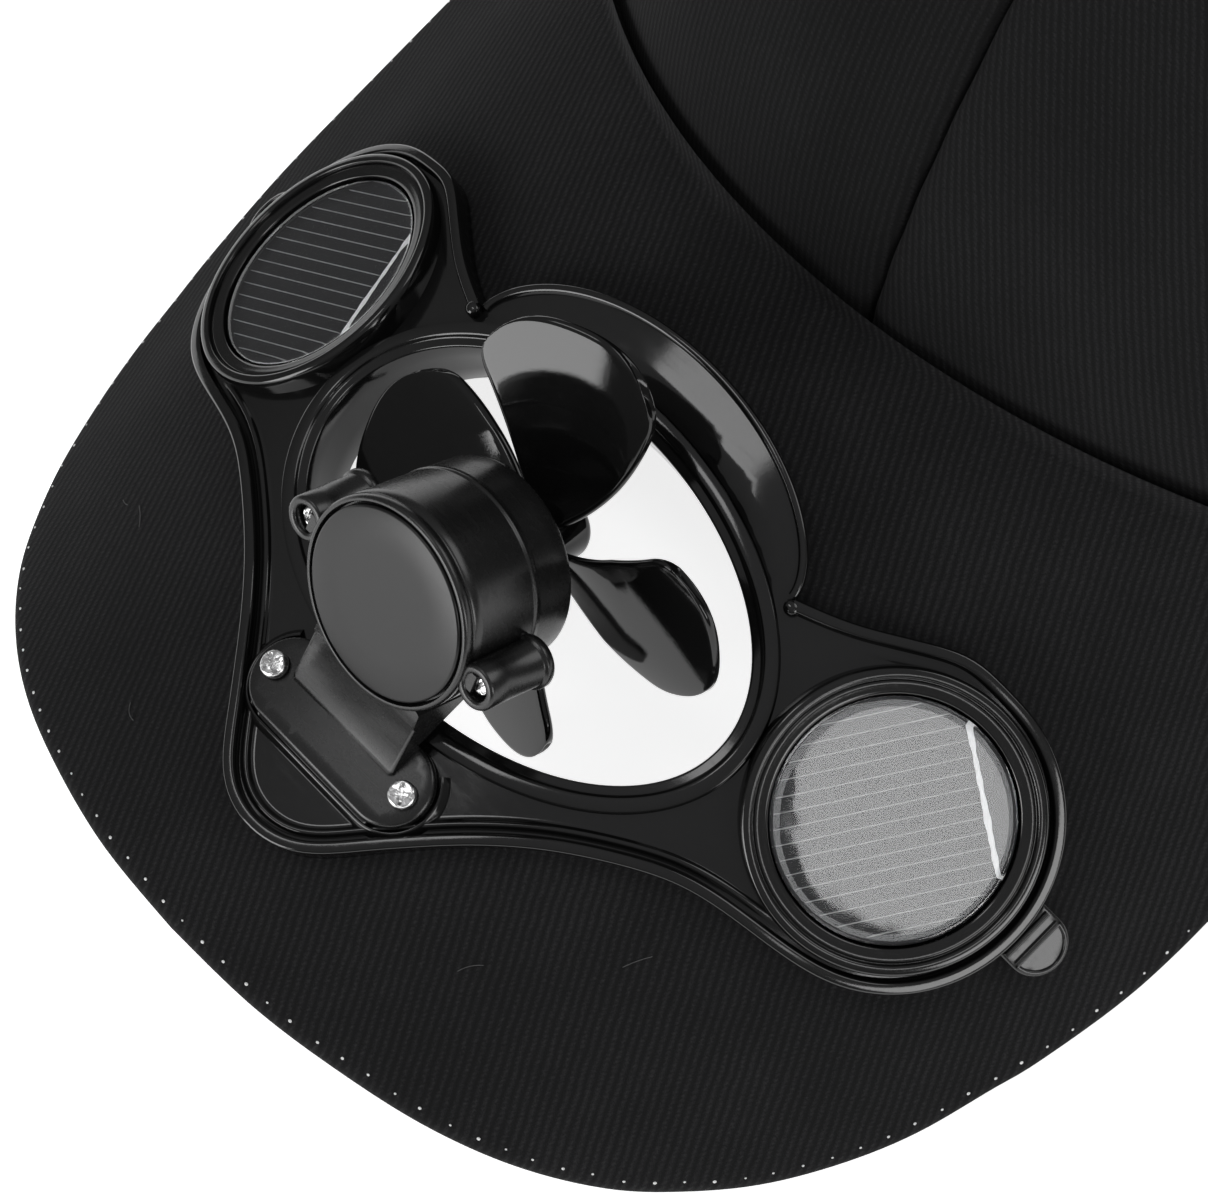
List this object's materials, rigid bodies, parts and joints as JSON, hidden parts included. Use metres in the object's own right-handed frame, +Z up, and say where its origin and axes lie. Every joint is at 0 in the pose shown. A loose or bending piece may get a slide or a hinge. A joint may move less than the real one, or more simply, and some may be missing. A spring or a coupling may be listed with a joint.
{
  "type": "solar fan hat",
  "caption": "Black cloth baseball cap with a curved peak that carries a solar-powered fan in a glossy plastic frame, its rotor set in a hole through the peak.",
  "frame": {"origin": "middle of the hat's bounding box on the surface it rests on", "axes": "-Y is the front, where the peak points, +X is the wearer's left, +Z is up"},
  "size_m": [0.1714, 0.279, 0.123],
  "materials": {
    "cloth": "matte cotton twill",
    "gloss_black": "glossy",
    "satin_black": "satin",
    "tab": "satin gloss",
    "cell": "dark silicon with printed silver lines",
    "window": "clear, polished",
    "steel": "bright plated"
  },
  "bodies": {
    "cap": {"crown_panel_1": "cloth", "crown_panel_2": "cloth", "crown_panel_3": "cloth", "crown_panel_4": "cloth", "crown_panel_5": "cloth", "crown_panel_6": "cloth", "peak": "cloth", "module_frame": "gloss_black", "motor_mount": "gloss_black", "motor_cap": "satin_black", "solar_cell_left": "cell", "cell_window_left": "window", "side_tab_left": "tab", "bracket_screw_left": "steel", "boss_screw_left": "steel", "solar_cell_right": "cell", "cell_window_right": "window", "side_tab_right": "tab", "bracket_screw_right": "steel", "boss_screw_right": "steel"},
    "rotor": {"fan_rotor": "gloss_black", "fan_shaft": "steel"}
  },
  "joints": [
    {"name": "fan_spin", "type": "hinge", "parent": "cap", "child": "rotor", "pos_m": [0, -0.08862, 0.03289], "axis": [0, -0.866, 0.5], "continuous": true}
  ]
}
